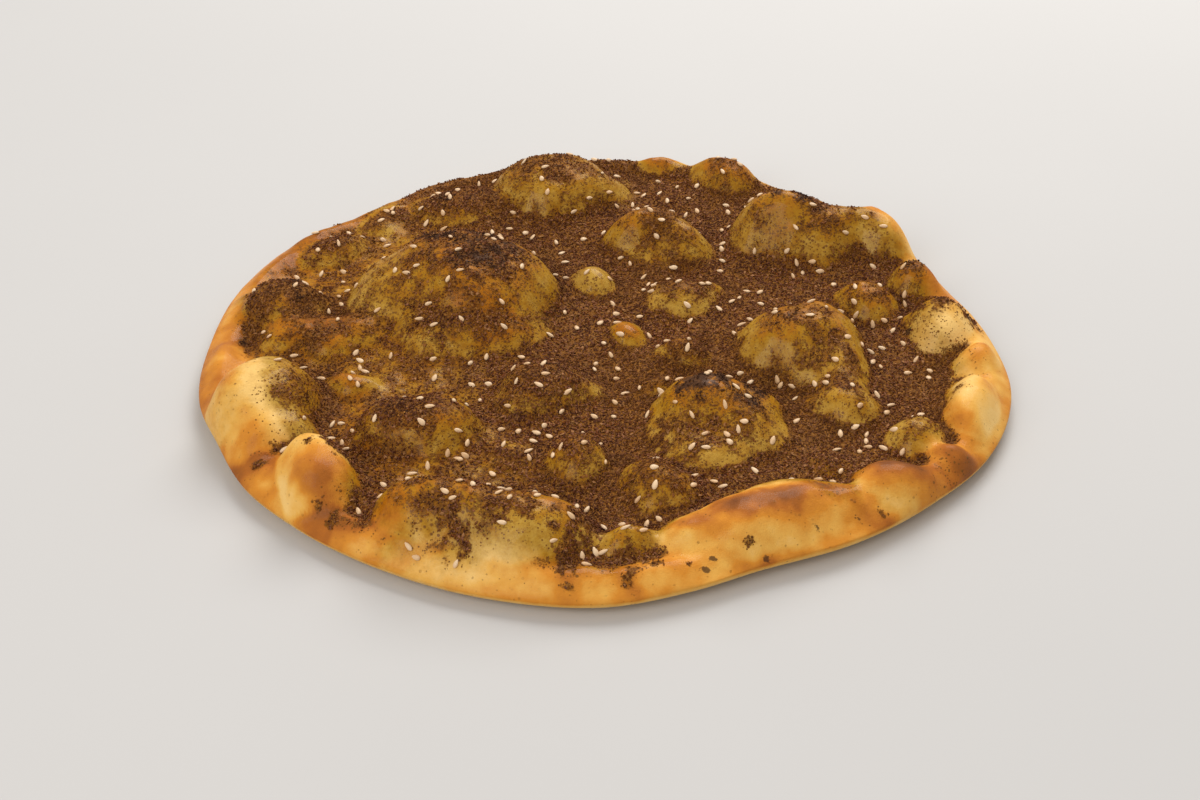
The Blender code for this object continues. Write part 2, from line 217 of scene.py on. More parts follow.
SPOTS = (
    # the left rim: an orange patch, crumb in the crease beside the knob, and a scorched fleck
    Spot(-123, -74, 9, 8, 0, 0.26),
    Spot(-114, -80, 3.5, 2, 0.6, 0.2),
    Spot(-108, -75, 7, 1.8, 0.8),
    Spot(-97, -71, 7, 2.5, 1.0),
    Spot(-86, -84, 9, 4, 0.9),
    Spot(-77, -98, 3.5, 11, 1.0),
    Spot(-133, -4, 3, 3.5, 0.5, 0.2, 0.6),
    # the great bubble's burnt crest, dust behind it and the orange below it
    Spot(-46, 18, 15, 11, 0.8, 0.2, 0.62),
    Spot(-66, 33, 16, 7, 0, 0.1, 0.1, 0, 0.75),
    Spot(-60, 30, 8, 5, 0.6, 0, 0.4),
    Spot(-43, -4, 13, 9, 0, 0.5),
    # crumb and dust on crests and beside them
    Spot(125, 6, 13, 6, 0.9, 0.2, 0.2),
    Spot(121, 5, 13, 8, 0, 0.2, 0, 0, 0.5),
    Spot(-104, -47, 12, 19, 0, 0.2, 0, 0.5, 0.62),
    Spot(-118, -30, 8, 6, 0, 0, 0, 0.2, 0.4),
    Spot(-5, -114, 5, 8, 0.9),
    Spot(44, -45, 15, 6, 0.6, 0, 0.5),
    Spot(80, 68, 12, 6, 0.55, 0.1, 0.35),
    Spot(31, -15, 8, 5, 0.6, 0.1, 0.3),
    Spot(14, -67, 7, 9, 0.9),
    # dough left pale, some of it dry, and paler spots that paint highlights
    Spot(-106, -98, 13, 9, 0, -0.26),
    Spot(-92, -117, 14, 6, 0, -0.1),
    # paler down the long right rim bubble: a painted highlight
    Spot(130, -52, 8, 14, 0, -0.18),
    Spot(48, -120, 14, 5, 0, -0.12),
    # paler dough with a little oil on a right rim bubble's face: a painted highlight
    Spot(91, -99, 10, 5, 0, -0.14, 0, 0.3),
    # paler along the front lip: partly less toast, partly painted light on its top
    Spot(-45, -131, 30, 7, 0, -0.2),
    Spot(119, -9, 11, 10, 0, -0.2, 0, -0.6, 0.22),
    Spot(-118, -57, 9, 8, 0, -0.22),
    Spot(-82, -104, 9, 7, 0, -0.2, 0, -0.5),
    # the knob's orange cap
    Spot(-91, -94, 13, 8, 0, 0.5),
    # the browned crest of the long ridge
    Spot(24, -114, 9, 4, 0, 0.4),
    Spot(40, -109, 11, 4.5, 0, 0.58),
    Spot(56, -104, 11, 4.5, 0, 0.58),
    Spot(72, -99, 10, 4, 0, 0.4),
    # crumb spilt on the front rim, with an orange stain under it
    Spot(-86, -109, 6, 6, 0.45, 0.45),
    Spot(-90, -103, 4, 2, 0.3, 0.2),
    Spot(-76, -112, 4, 2, 0.35, 0.2),
    Spot(-61, -121, 3, 5, 0.4),
    Spot(-46, -121, 4.5, 8, 0.75),
    Spot(-28, -117, 11, 5, 0.85),
    Spot(-15, -120, 3.5, 6, 0.6),
    Spot(-12, -130, 3.5, 10, 0.85, 0.2),
    Spot(-18, -138, 3, 3, 0.4),
    Spot(7, -136, 5, 4, 0.85, 0.3, 0.3),
    Spot(1, -127, 14, 3.5, 1.0),
    # oil that ran down the front bubble's pale face, which also darkens the steep face as painted shade
    Spot(-62, -120, 11, 8, 0, -0.28, 0, 0.7),
    Spot(-44, -123, 13, 7, 0, -0.3, 0, 0.85),
    Spot(-24, -123, 12, 7, 0, -0.35, 0, 0.7),
    # scorched flecks and single clots on the right rim
    Spot(33, -126, 1.6, 1.0, 0, 0, 1.0),
    Spot(31, -129.5, 1.6, 0.9, 0, 0, 1.0),
    Spot(26, -128, 2.5, 2, 0.35),
    Spot(45, -122, 2.6, 1.6, 0.4),
    Spot(50, -124, 1.6, 1.2, 0.3, 0, 0.7),
    Spot(66, -113, 1.5, 0.8, 0, 0, 0.8),
    Spot(48, -112, 1.2, 0.8, 0, 0, 0.7),
    Spot(112, -1, 1.3, 1.5, 0, 0, 1.0),
    Spot(134, 2, 1.5, 2.0, 0, 0, 0.8),
    Spot(130, -48, 1.2, 0.8, 0, 0, 0.6),
    # the right corner, which baked hardest: orange, brown and a little crumb
    Spot(88, -106, 9, 4.5, 0.42, 0.35, 0.1),
    Spot(80, -102, 4, 4, 0.3, 0, 0, 0.5),
    Spot(112, -84, 10, 8, 0, 0.36, 0.1, 0, 0.22),
    Spot(92, -86, 13, 4.5, 0, 0.5, 0.25),
    # browner down the long right rim bubble's left flank: toast and painted shade
    Spot(118, -50, 4, 17, 0, 0.35),
    Spot(62, -128, 22, 5, 0, 0.3),
    Spot(124, -73, 5, 10, 0, 0.3, 0.1),
)
print(len(SPOTS), "spots")

# %% [markdown]
# ## Random waves
# Dough is uneven at every size, from a slow swell to fine pimples. A material's noise could colour it so,
# but these waves also move the mesh and place the crumb, so they are worked out in Python. One function
# gives smooth waves of any length from a grid of random numbers. Its seed is fixed, so each run bakes the
# same bread.

# %% Waves and blur


def waves(x, y, wave, seed):
    """Smooth random waves from -1 to 1, about one wave length apart."""
    side = 64
    values = np.random.default_rng(seed).uniform(-1.0, 1.0, (side, side))
    across, up = x / wave + side / 2, y / wave + side / 2
    column, row = np.floor(across).astype(int), np.floor(up).astype(int)
    s, t = across - column, up - row
    s, t = s * s * (3 - 2 * s), t * t * (3 - 2 * t)
    corner = [values[(row + j) % side, (column + i) % side] for j in (0, 1) for i in (0, 1)]
    low = corner[0] * (1 - s) + corner[1] * s
    high = corner[2] * (1 - s) + corner[3] * s
    return low * (1 - t) + high * t


def lumps(x, y, z, wave, seed):
    """Waves in all three directions, so that steep sides are as evenly patchy as level ground."""
    floor = np.floor(z / wave).astype(int)
    share = z / wave - floor
    share = share * share * (3 - 2 * share)
    below, above = np.zeros_like(z), np.zeros_like(z)
    for layer in range(int(floor.min()), int(floor.max()) + 2):
        # each layer has a seed of its own, and 500 keeps layers below 0 clear of the next pattern's
        sheet = waves(x, y, wave, seed * 1000 + 500 + layer)
        below = np.where(floor == layer, sheet, below)
        above = np.where(floor == layer - 1, sheet, above)
    return below * (1 - share) + above * share


def blurred(grid, spread):
    """The grid with each value averaged over its neighbours by a bell curve."""
    reach = int(3 * spread) + 1
    bell = np.exp(-0.5 * (np.arange(-reach, reach + 1) / spread) ** 2)
    bell /= bell.sum()
    for axis in (0, 1):
        grid = np.apply_along_axis(lambda strip: np.convolve(strip, bell, mode="same"), axis, grid)
    return grid


print("A sample of the waves:", np.round(waves(np.arange(0.0, 30.0, 6.0), 0.0, 17.0, 13), 2))

# %% [markdown]
# ## The height map
# Separate domes joined by Booleans would meet in hard creases. Here the top is worked out once on a
# square grid, half a millimetre apart: the sheet, the lip, the domes and the unevenness. The same domes
# say how much crumb, toast and char each spot gets, so colour and shape can never drift apart.

# %% A square grid over the bread
CELL, HALF_SIDE = 0.5, 156.0

line = np.arange(-HALF_SIDE, HALF_SIDE + CELL, CELL)
grid_x, grid_y = np.meshgrid(line, line)
bearings = np.arctan2(grid_y, grid_x)
inset = around(OUTLINE, bearings) - np.hypot(grid_x, grid_y)


def ripples(wave, seed):
    """Waves over the whole grid."""
    return waves(grid_x, grid_y, wave, seed)


def roughened(base, rows, pattern=ripples):
    """The base with a pattern added for each row: its strength, wave length and seed."""
    for strength, wave, seed in rows:
        base = base + strength * pattern(wave, seed)
    return base


warped_x = roughened(grid_x, ((4.0, 27.0, 11), (2.2, 11.0, 12)))
warped_y = roughened(grid_y, ((4.0, 27.0, 21), (2.2, 11.0, 22)))
print("The grid has", len(line), "points along each side")

# %% Lip and domes joined
SHEET_TOP, LIP_RISE, LIP_INSET, LIP_WIDTH = 7.0, 5.0, 7.5, 6.0
JOIN_POWER, SOFTNESS, LEAST_WEIGHT = 4.0, 1.7, 1e-9

# the higher of two forms wins, near equals blend, and what a bubble says counts by its pull
lip = LIP_RISE * np.exp(-(((inset - LIP_INSET) / LIP_WIDTH) ** 2))
total = lip**JOIN_POWER
shares = dict.fromkeys(("crumbs", "toast", "char", "oil", "level"), 0.0)
for bubble in BUBBLES:
    height = dome_height(warped_x, warped_y, bubble)
    pull = height**JOIN_POWER
    level = height / bubble.height
    crown = smooth_step(0.45, 0.98, level)
    total = total + pull
    shares["crumbs"] = shares["crumbs"] + pull * bubble.crumbs
    shares["toast"] = shares["toast"] + pull * bubble.toast * (0.35 + 0.65 * crown)
    shares["char"] = shares["char"] + pull * bubble.char * crown
    shares["oil"] = shares["oil"] + pull * bubble.oil
    shares["level"] = shares["level"] + pull * level
weight = np.maximum(total, LEAST_WEIGHT)
shares = {name: share / weight for name, share in shares.items()}
climb = shares["level"]
rise = total ** (1 / JOIN_POWER)
swell = roughened(0.0, ((1.2, 17.0, 13), (0.6, 6.0, 14)))
top_grid = blurred(SHEET_TOP + rise + swell, SOFTNESS / CELL)
print("Tallest point of the height map:", round(float(top_grid[inset > 0].max()), 1), "mm")

# %% Spots on the map
BIG_SPOT, SMALL_SPOT = 6.0, 2.0

spilt, spot_toast_and_light, scorched, spot_oil_and_shade, dried, dusted = (np.zeros_like(rise) for _ in range(6))
ragged_x = roughened(grid_x, ((2.2, 5.0, 51), (1.0, 2.0, 52)))
ragged_y = roughened(grid_y, ((2.2, 5.0, 53), (1.0, 2.0, 54)))
for spot in SPOTS:
    # big spots get ragged edges, and small ones keep their place
    small = smooth_step(BIG_SPOT, SMALL_SPOT, spot.half_x)
    off_x = ragged_x * (1 - small) + grid_x * small - spot.x
    off_y = ragged_y * (1 - small) + grid_y * small - spot.y
    near = np.exp(-((off_x / spot.half_x) ** 2) - (off_y / spot.half_y) ** 2)
    spilt = np.maximum(spilt, spot.crumbs * near)
    # toast and oil from the spots; some rows paint highlights and shade with them
    spot_toast_and_light = spot_toast_and_light + spot.toast * near
    scorched = np.maximum(scorched, spot.char * near)
    spot_oil_and_shade = np.maximum(spot_oil_and_shade, spot.oil * near)
    dried = np.minimum(dried, spot.oil * near)
    dusted = np.maximum(dusted, spot.dust * near)
print("Spots add toast up to", round(float(spot_toast_and_light.max()), 2))

# %% [markdown]
# ## Where the topping lies
# Oil soaks in everywhere but on the bare rim. Crumb lies thick on the level sheet, thinner on crowns, and
# slides off steep sides, where yellow dough shows through. On the left the layer is thin. Lumps of
# several sizes break it up into clots, as damp crumb does. Each effect fades in with smooth_step, from
# its first number to its second: millimetres for insets and heights, 0 to 1 for how far up a bubble.

# %% Oil, and what thins the crumb
# the topping ends in a ragged line, and the oil creeps a little past it
bare = roughened(around(BARE_RIM, bearings), ((2.2, 7.0, 31), (1.2, 2.6, 32)))
past_bare = inset - bare
topped = smooth_step(-1.0, 2.5, past_bare)
on_bubble = smooth_step(0.03, 0.3, climb) * smooth_step(0.5, 3.0, rise)
# real oil, which also paints shade: on the front rim it darkens the steep faces
oil_and_shade = np.maximum(smooth_step(-7.0, 3.0, past_bare), on_bubble * shares["oil"])
oil_and_shade = np.clip(np.maximum(oil_and_shade, spot_oil_and_shade) + dried, 0.0, 1.0)
# crumb lies thinner on the left, and better on the upper part of a bubble than on its steep sides
thin_side = smooth_step(20.0, 85.0, -grid_x - 0.25 * grid_y) * (0.9 + 0.3 * ripples(24.0, 39))
slope = np.hypot(*np.gradient(top_grid, CELL))
upper = smooth_step(0.35, 0.95, climb) * smooth_step(1.6, 0.5, slope)
print("Share of the top with oil:", round(float(oil_and_shade[inset > 0].mean()), 2))

# %% Crumb on the sheet and on the bubbles
FULL_SHEET, THINNING, HOLLOW_SPAN = 0.95, 0.64, 5.0


def clots(wave, seed):
    """Lumps over the bread's top."""
    return lumps(grid_x, grid_y, top_grid, wave, seed)


patches = roughened(0.0, ((0.55, 10.0, 33), (0.45, 4.6, 34), (0.3, 2.2, 35)), clots)
clump = roughened(0.0, ((0.25, 8.0, 42), (0.6, 3.6, 43), (0.5, 1.9, 44)), clots)
clump = smooth_step(-0.35, 0.45, clump)
hollow = blurred(top_grid, HOLLOW_SPAN / CELL) - top_grid
sheet = FULL_SHEET - THINNING * thin_side
held = np.clip(shares["crumbs"] * (0.75 + upper), 0.0, 1.0)
thick = sheet - on_bubble * (sheet - held)
uneven = 0.45 + 0.55 * np.maximum(on_bubble, thin_side)
crumb_grid = np.clip(thick + 0.45 * patches * uneven + 0.09 * hollow, 0.0, 1.0)
# half covered places break up into clots, while full and empty ones stay as they are
mottled = crumb_grid * (0.5 + 0.5 * crumb_grid) + 1.1 * crumb_grid * (1.0 - crumb_grid) * clump
crumb_grid = np.clip(np.maximum(mottled, 0.17 + 0.16 * patches), 0.0, 1.0) * topped
print("Share of the top under crumb:", round(float(crumb_grid[inset > 0].mean()), 2))

# %% [markdown]
# ## Crumb where it wasn't meant to be
# A hand that strews crumb is never exact. A few grains stray onto the bare rim in loose drifts, some
# lodge in the crease at the foot of a rim bubble, and the spots add what was spilt. A hard edge would
# look printed, so spills are broken up by the same clots as the rest, and dust is only a thin haze.

# %% Strays, creases and spills
stray = smooth_step(0.25, 0.7, ripples(11.0, 55)) * smooth_step(-12.0, -2.0, past_bare)
stray = stray * smooth_step(3.0, 7.0, inset) * (0.2 + 0.5 * ripples(2.2, 41))
foot = smooth_step(0.75, 0.45, climb) * smooth_step(0.7, 2.0, hollow)
crease = foot * smooth_step(3.0, 8.0, inset) * smooth_step(-16.0, -4.0, past_bare)
spilt = smooth_step(0.15, 0.6, spilt * (0.4 + 1.3 * clump)) * smooth_step(1.0, 4.0, inset)
spilt = np.maximum(spilt, dusted * (0.75 + 0.6 * patches))
loose = np.maximum(stray, np.maximum(crease * 0.9, spilt))
crumb_grid = np.maximum(crumb_grid, np.clip(loose, 0.0, 1.0))
print("The same with strays, creases and spills:", round(float(crumb_grid[inset > 0].mean()), 2))

# %% [markdown]
# ## Toast, char and fine relief
# Dough browns where it stands nearest to the heat: on crowns, along the lip and at the very edge. Oil
# fries the level sheet a little too. Only the highest crests char. Last, the height map gets what a
# finger would feel: creased skin on the flanks of tall bubbles, grains of crumb and small pimples.

# %% Toast and char maps
# the lip, the level sheet and the thin edge each add some toast, and the hollows beside bubbles get painted
# shade the same way
rim_toast = 0.22 * np.exp(-(((inset - 9.0) / 6.0) ** 2)) * (1.0 + 0.8 * ripples(22.0, 36))
sheet_toast = (0.15 + 0.2 * thin_side) * (1.0 - on_bubble)
# painted shade: the hollows beside bubbles are darkened as toast would darken them
hollow_shade = 0.12 * smooth_step(0.4, 1.8, hollow)
edge_toast = 0.14 * smooth_step(4.0, 0.0, inset)
# toast, with the painted shade of the hollows and the painted highlights and shade of some spots
toast_and_light_grid = on_bubble * shares["toast"] + rim_toast + 0.12 * patches + spot_toast_and_light
toast_and_light_grid = np.clip(toast_and_light_grid + sheet_toast + hollow_shade + edge_toast, 0.0, 1.0)
char_grid = on_bubble * shares["char"] * (0.75 + 0.9 * patches)
char_grid = np.clip(np.maximum(char_grid, scorched), 0.0, 1.0)
print("Toast averages", round(float(toast_and_light_grid[inset > 0].mean()), 2))

# %% Fine relief
FOLD_HEIGHT, GRAIN_HEIGHT, PIMPLE_HEIGHT = 0.16, 0.22, 0.14

folds = np.sin(40.0 * climb + 3.0 * ripples(13.0, 45))
flank = smooth_step(0.2, 0.45, climb) * smooth_step(0.95, 0.7, climb)
flank = flank * smooth_step(-0.1, 0.5, ripples(19.0, 46)) * smooth_step(8.0, 16.0, rise)
top_grid = top_grid + FOLD_HEIGHT * folds * flank
top_grid = top_grid + GRAIN_HEIGHT * crumb_grid * ripples(1.3, 37)
top_grid = top_grid + PIMPLE_HEIGHT * ripples(2.8, 38)
print("Tallest point with the fine relief:", round(float(top_grid[inset > 0].max()), 1), "mm")

# %% [markdown]
# ## The bread's mesh
# A square mesh cut along the outline would have a ragged edge. Rings of points follow the outline
# instead, each about a millimetre further out. Close to the edge the top bends down to meet the
# underside. The crumb, toast, char and oil maps are kept on the points as attributes, so that materials
# and scattered pieces can read them.

# %% Reading the maps at a point


def read(grid, x, y):
    """A grid's value between its points."""
    across = np.clip((x - line[0]) / CELL, 0, len(line) - 1.001)
    up = np.clip((y - line[0]) / CELL, 0, len(line) - 1.001)
    column, row = across.astype(int), up.astype(int)
    s, t = across - column, up - row
    near = grid[row, column] * (1 - s) + grid[row, column + 1] * s
    far = grid[row + 1, column] * (1 - s) + grid[row + 1, column + 1] * s
    return near * (1 - t) + far * t


print("Crumb at the middle:", round(float(read(crumb_grid, np.zeros(1), np.zeros(1))[0]), 2))

# %% Edge, top and underside
EDGE_LEVEL, EDGE_ROUND, UNDER_ROUND, EDGE_FULLNESS = 4.4, 12.0, 16.0, 2.3


def edge_level(bearing):
    """Height of the bread's widest line, which is more where the edge has lifted."""
    level = np.full_like(bearing, EDGE_LEVEL)
    for middle, half, lift in EDGE_LIFTS:
        off = (np.degrees(bearing) - middle + 180.0) % 360.0 - 180.0
        level = level + lift * np.exp(-((off / half) ** 2))
    return level


def rounding(inset, width):
    """0 on the outline, rising steeply to 1 at width inside it."""
    depth = np.clip(1.0 - inset / width, 0.0, 1.0)
    return (1.0 - depth**EDGE_FULLNESS) ** (1.0 / EDGE_FULLNESS)


def top_height(x, y):
    """Height of the bread's top, with its outer edge rounded."""
    bearing = np.arctan2(y, x)
    edge = edge_level(bearing)
    inside = around(OUTLINE, bearing) - np.hypot(x, y)
    return edge + (read(top_grid, x, y) - edge) * rounding(inside, EDGE_ROUND)


def under_height(x, y):
    """Height of the bread's underside: 0 where it rests."""
    bearing = np.arctan2(y, x)
    bend = 1.0 - rounding(around(OUTLINE, bearing) - np.hypot(x, y), UNDER_ROUND)
    return edge_level(bearing) * bend


print("Thickness at the middle:", round(float(top_height(np.zeros(1), np.zeros(1))[0]), 1), "mm")

# %% Rings of points
RINGS, EDGE_RINGS, SECTORS = 128, 18, 6
UNDER_SHARES = (0.995, 0.985, 0.97, 0.95, 0.925, 0.89, 0.75, 0.5)


def ring_points(share, count, height):
    """Points of one ring, as an array of x, y and z."""
    bearing = np.arange(count) * 2 * math.pi / count
    radius = around(OUTLINE, bearing) * share
    x, y = radius * np.cos(bearing), radius * np.sin(bearing)
    return np.stack([x, y, height(x, y)], axis=1)


def stitch(mesh, inner, outer):
    """Fills the band between two rings with triangles. The outer ring has as many points or more."""
    i = j = 0
    while i < len(inner) or j < len(outer):
        a, b = inner[i % len(inner)], outer[j % len(outer)]
        if i == len(inner) or (j < len(outer) and (j + 1) * len(inner) <= (i + 1) * len(outer)):
            mesh.faces.new((a, b, outer[(j + 1) % len(outer)]))
            j += 1
        else:
            if len(inner) > 1:
                mesh.faces.new((a, b, inner[(i + 1) % len(inner)]))
            i += 1


inner_share = 1.0 - EDGE_ROUND / max(radius for _, radius in OUTLINE)
swing = np.linspace(0.0, math.pi / 2, EDGE_RINGS + 1)[1:]
ring_shares = np.concatenate(
    [np.linspace(0.0, inner_share, RINGS)[1:], inner_share + (1.0 - inner_share) * np.sin(swing)]
)
widest = SECTORS * RINGS
print(len(ring_shares), "rings on top and", len(UNDER_SHARES), "below, of", widest, "points at most")

# %% The rings stitched to a closed skin
build = bmesh.new()
ring = [build.verts.new((0.0, 0.0, top_height(np.zeros(1), np.zeros(1))[0] * MM))]
for step, share in enumerate(ring_shares):
    count = min(SECTORS * (step + 1), widest)
    outer = [build.verts.new(point * MM) for point in ring_points(share, count, top_height)]
    stitch(build, ring, outer)
    ring = outer
top_count = len(build.verts)
for share in UNDER_SHARES:
    inner = [build.verts.new(point * MM) for point in ring_points(share, widest, under_height)]
    stitch(build, inner, ring)
    ring = inner
hub = build.verts.new((0.0, 0.0, 0.0))
stitch(build, [hub], ring)
bmesh.ops.recalc_face_normals(build, faces=build.faces)
bread_mesh = bpy.data.meshes.new("baked_bread")
build.to_mesh(bread_mesh)
build.free()
bread_mesh.shade_smooth()
bread = bpy.data.objects.new("baked_bread", bread_mesh)
bpy.context.scene.collection.objects.link(bread)
print("The bread has", len(bread_mesh.polygons), "triangles")

# %% Attributes on the bread
places = np.empty(len(bread_mesh.vertices) * 3)
bread_mesh.vertices.foreach_get("co", places)
places = places.reshape(-1, 3) / MM
on_top = np.arange(len(places)) < top_count
# the toast attribute also carries painted shade and painted highlights
for name, grid in (("crumbs", crumb_grid), ("toast", toast_and_light_grid), ("char", char_grid), ("oil", oil_and_shade)):
    values = read(grid, places[:, 0], places[:, 1]) * on_top
    bread_mesh.attributes.new(name, "FLOAT", "POINT").data.foreach_set("value", values)
    print(name, "averages", round(float(values[on_top].mean()), 2))

# %% [markdown]
# ## Wiring nodes in Python
# Shader maths reads best as ordinary sums. This small class wraps one output of one node, so that
# `mask * 0.5` adds the Math node and links it. Its `make` method adds any other node: the settings go in
# first, then the values or wires of its sockets.

# %% The wire class


class Wire:
    """One output socket, with arithmetic that adds Math nodes."""

    def __init__(self, tree, socket=None):
        self.tree, self.socket = tree, socket

    def make(self, kind, values=None, output=0, stops=None, **settings):
        """Adds a node, sets it up and returns the wire of one of its outputs."""
        node = self.tree.nodes.new(kind)
        for name, value in settings.items():
            setattr(node, name, value)
        if stops:
            ramp = node.color_ramp
            while len(ramp.elements) < len(stops):
                ramp.elements.new(0.5)
            for element, (position, colour) in zip(ramp.elements, stops):
                element.position, element.color = position, (*colour, 1.0)
        for key, value in (values or {}).items():
            if isinstance(value, Wire):
                self.tree.links.new(value.socket, node.inputs[key])
            else:
                node.inputs[key].default_value = value
        return Wire(self.tree, node.outputs[output])

    def math(self, operation, *values):
        return self.make("ShaderNodeMath", dict(enumerate(values)), operation=operation)

    def __add__(self, other):
        return self.math("ADD", self, other)

    def __sub__(self, other):
        return self.math("SUBTRACT", self, other)

    def __rsub__(self, other):
        return self.math("SUBTRACT", other, self)

    def __mul__(self, other):
        return self.math("MULTIPLY", self, other)

    __radd__, __rmul__ = __add__, __mul__

    def step(self, low, high):
        """0 below low, 1 above high, and an easy curve between them."""
        values = {0: self, 1: low, 2: high, 3: 0.0, 4: 1.0}
        return self.make("ShaderNodeMapRange", values, interpolation_type="SMOOTHSTEP")


def mix(factor, first, second):
    """A colour that goes from the first to the second as factor goes from 0 to 1."""
    first, second = (value if isinstance(value, Wire) else (*value, 1.0) for value in (first, second))
    return factor.make("ShaderNodeMix", {0: factor, 6: first, 7: second}, output=2, data_type="RGBA")


def noise(where, size, detail=2.0, roughness=0.5, stretch=None):
    """Noise from 0 to 1 whose lumps are about size millimetres wide, on Object coordinates."""
    if stretch:
        where = where.make("ShaderNodeVectorMath", {0: where, 1: stretch}, operation="MULTIPLY")
    values = {"Vector": where, "Scale": 1.0 / (size * MM), "Detail": detail, "Roughness": roughness}
    return where.make("ShaderNodeTexNoise", values)


def new_material(name, **constants):
    """A material with a Principled shader, whose named sockets are set to constants."""
    material = bpy.data.materials.new(name)
    material.use_nodes = True
    shader = material.node_tree.nodes["Principled BSDF"]
    for socket, value in constants.items():
        shader.inputs[socket.replace("_", " ")].default_value = value
    return material, shader, Wire(material.node_tree)


def attribute(start, name):
    """One of the numbers kept on a mesh's points."""
    return start.make("ShaderNodeAttribute", output=2, attribute_name=name)


def connect(shader, **wires):
    """Links wires to the shader's sockets."""
    for socket, wire in wires.items():
        wire.tree.links.new(wire.socket, shader.inputs[socket.replace("_", " ")])


print("Ready to wire")

# %% [markdown]
# ## The crust's finish
# The crust goes from cream to gold, orange and brown, oil stains it a darker yellow, fine crumb speckles
# it and char closes the crests, all without a border. So one material covers the bread. A painted
# picture could do it too, but noise and the numbers on the points stay sharp at any distance. A ramp
# turns toast into dough colours. The oil also gives a thin glossy coat.

# %% Dough, dry and soaked
DOUGH_STOPS = (
    (0.0, (0.82, 0.52, 0.17)),
    (0.2, (0.75, 0.4, 0.08)),
    (0.4, (0.62, 0.24, 0.028)),
    (0.65, (0.4, 0.125, 0.018)),
    (1.0, (0.16, 0.05, 0.014)),
)
SOAKED_STOPS = (
    (0.0, (0.47, 0.27, 0.04)),
    (0.25, (0.4, 0.19, 0.008)),
    (0.5, (0.42, 0.14, 0.003)),
    (0.75, (0.26, 0.07, 0.004)),
    (1.0, (0.09, 0.027, 0.005)),
)
crust, shader, start = new_material("Baked crust", Coat_Roughness=0.15, Specular_IOR_Level=0.05)
where = start.make("ShaderNodeTexCoord", output=3)
crumbs, toast, char, oil = (attribute(start, name) for name in ("crumbs", "toast", "char", "oil"))

mottle = noise(where, 14.0, 3.0)
blotch = noise(where, 4.5, 3.0, 0.6)
grain = noise(where, 0.9, 2.0, 0.6)
fine = noise(where, 0.45, 1.0)
# the toast attribute brings its painted shade and highlights along, and the oil attribute its painted shade
toast_and_light_level = toast + (mottle - 0.5) * 0.45 + (blotch - 0.5) * (oil * 0.4 + 0.25) + (grain - 0.5) * oil * 0.25
dough = toast_and_light_level.make("ShaderNodeValToRGB", {0: toast_and_light_level}, stops=DOUGH_STOPS)
soaked = toast_and_light_level.make("ShaderNodeValToRGB", {0: toast_and_light_level}, stops=SOAKED_STOPS)
skin = mix(oil.step(0.1, 0.95), dough, soaked)
print("Dough runs through", len(DOUGH_STOPS), "colours dry and", len(SOAKED_STOPS), "soaked")

# %% Dark stains and wet crumb
STAIN, DEEP_STAIN = (0.24, 0.088, 0.004), (0.21, 0.077, 0.004)
WET_DARK, WET_LIGHT = (0.125, 0.04, 0.006), (0.28, 0.1, 0.006)

skin = mix(noise(where, 2.4, 3.0, 0.65).step(0.42, 0.72) * oil * 0.5, skin, STAIN)
skin = mix(noise(where, 1.1, 2.0, 0.6).step(0.5, 0.8) * oil * 0.4, skin, DEEP_STAIN)
some = crumbs.step(0.0, 0.25)
wet = (crumbs + some * ((blotch - 0.5) * 0.5 + (grain - 0.5) * 0.4)).step(0.08, 0.85)
paste = mix(noise(where, 2.4, 2.0).step(0.36, 0.64), WET_DARK, WET_LIGHT)
skin = mix(wet * 0.85, skin, paste)
print("Stains and wet crumb bring it to", len(crust.node_tree.nodes), "nodes")

# %% Flecks and specks of crumb
FLECK_SIZE, FLECK_DARK, FLECK_LIGHT = 1.5, (0.09, 0.03, 0.007), (0.23, 0.088, 0.013)
SPECK_DARK, SPECK_LIGHT, LONE_SPECK = (0.045, 0.014, 0.005), (0.37, 0.16, 0.035), (0.2, 0.08, 0.014)
SPECK_SIZES = ((1.1, 0.35), (0.65, 0.65))


def flecks(where, size, amount):
    """Ragged flecks about size millimetres wide: more of them where amount is high."""
    return (noise(where, size, 3.0, 0.62) + amount * 0.36).step(0.69, 0.77)


def particles(where, size, amount):
    """Flat specks about size millimetres wide: a mask, and a random shade for each speck."""
    spots = where.make("ShaderNodeTexVoronoi", {"Vector": where, "Scale": 1.0 / (size * MM)}, output=1)
    distance = Wire(where.tree, spots.socket.node.outputs["Distance"])
    parts = spots.make("ShaderNodeSeparateColor", {0: spots})
    pick, shade = (Wire(where.tree, parts.socket.node.outputs[channel]) for channel in ("Red", "Green"))
    return (amount - pick).step(-0.03, 0.03) * (1.0 - distance.step(0.3, 0.6)), shade


amount = crumbs * 1.1 + 0.03 * oil
ragged = flecks(where, FLECK_SIZE, amount)
covered = mix(ragged * 0.75, skin, mix(fine.step(0.35, 0.65), FLECK_DARK, FLECK_LIGHT))
layer = ragged
for size, share in SPECK_SIZES:
    there, shade = particles(where, size, amount * share)
    shaded = mix(shade.step(0.35, 1.1), SPECK_DARK, SPECK_LIGHT)
    covered = mix(there, covered, mix(crumbs.step(0.2, 0.7), LONE_SPECK, shaded))
    layer = layer.math("MAXIMUM", layer, there)
print("Flecks and", len(SPECK_SIZES), "sizes of speck bring it to", len(crust.node_tree.nodes), "nodes")

# %% Char, gloss and the feel of the skin
CHARRED = (0.04, 0.019, 0.011)

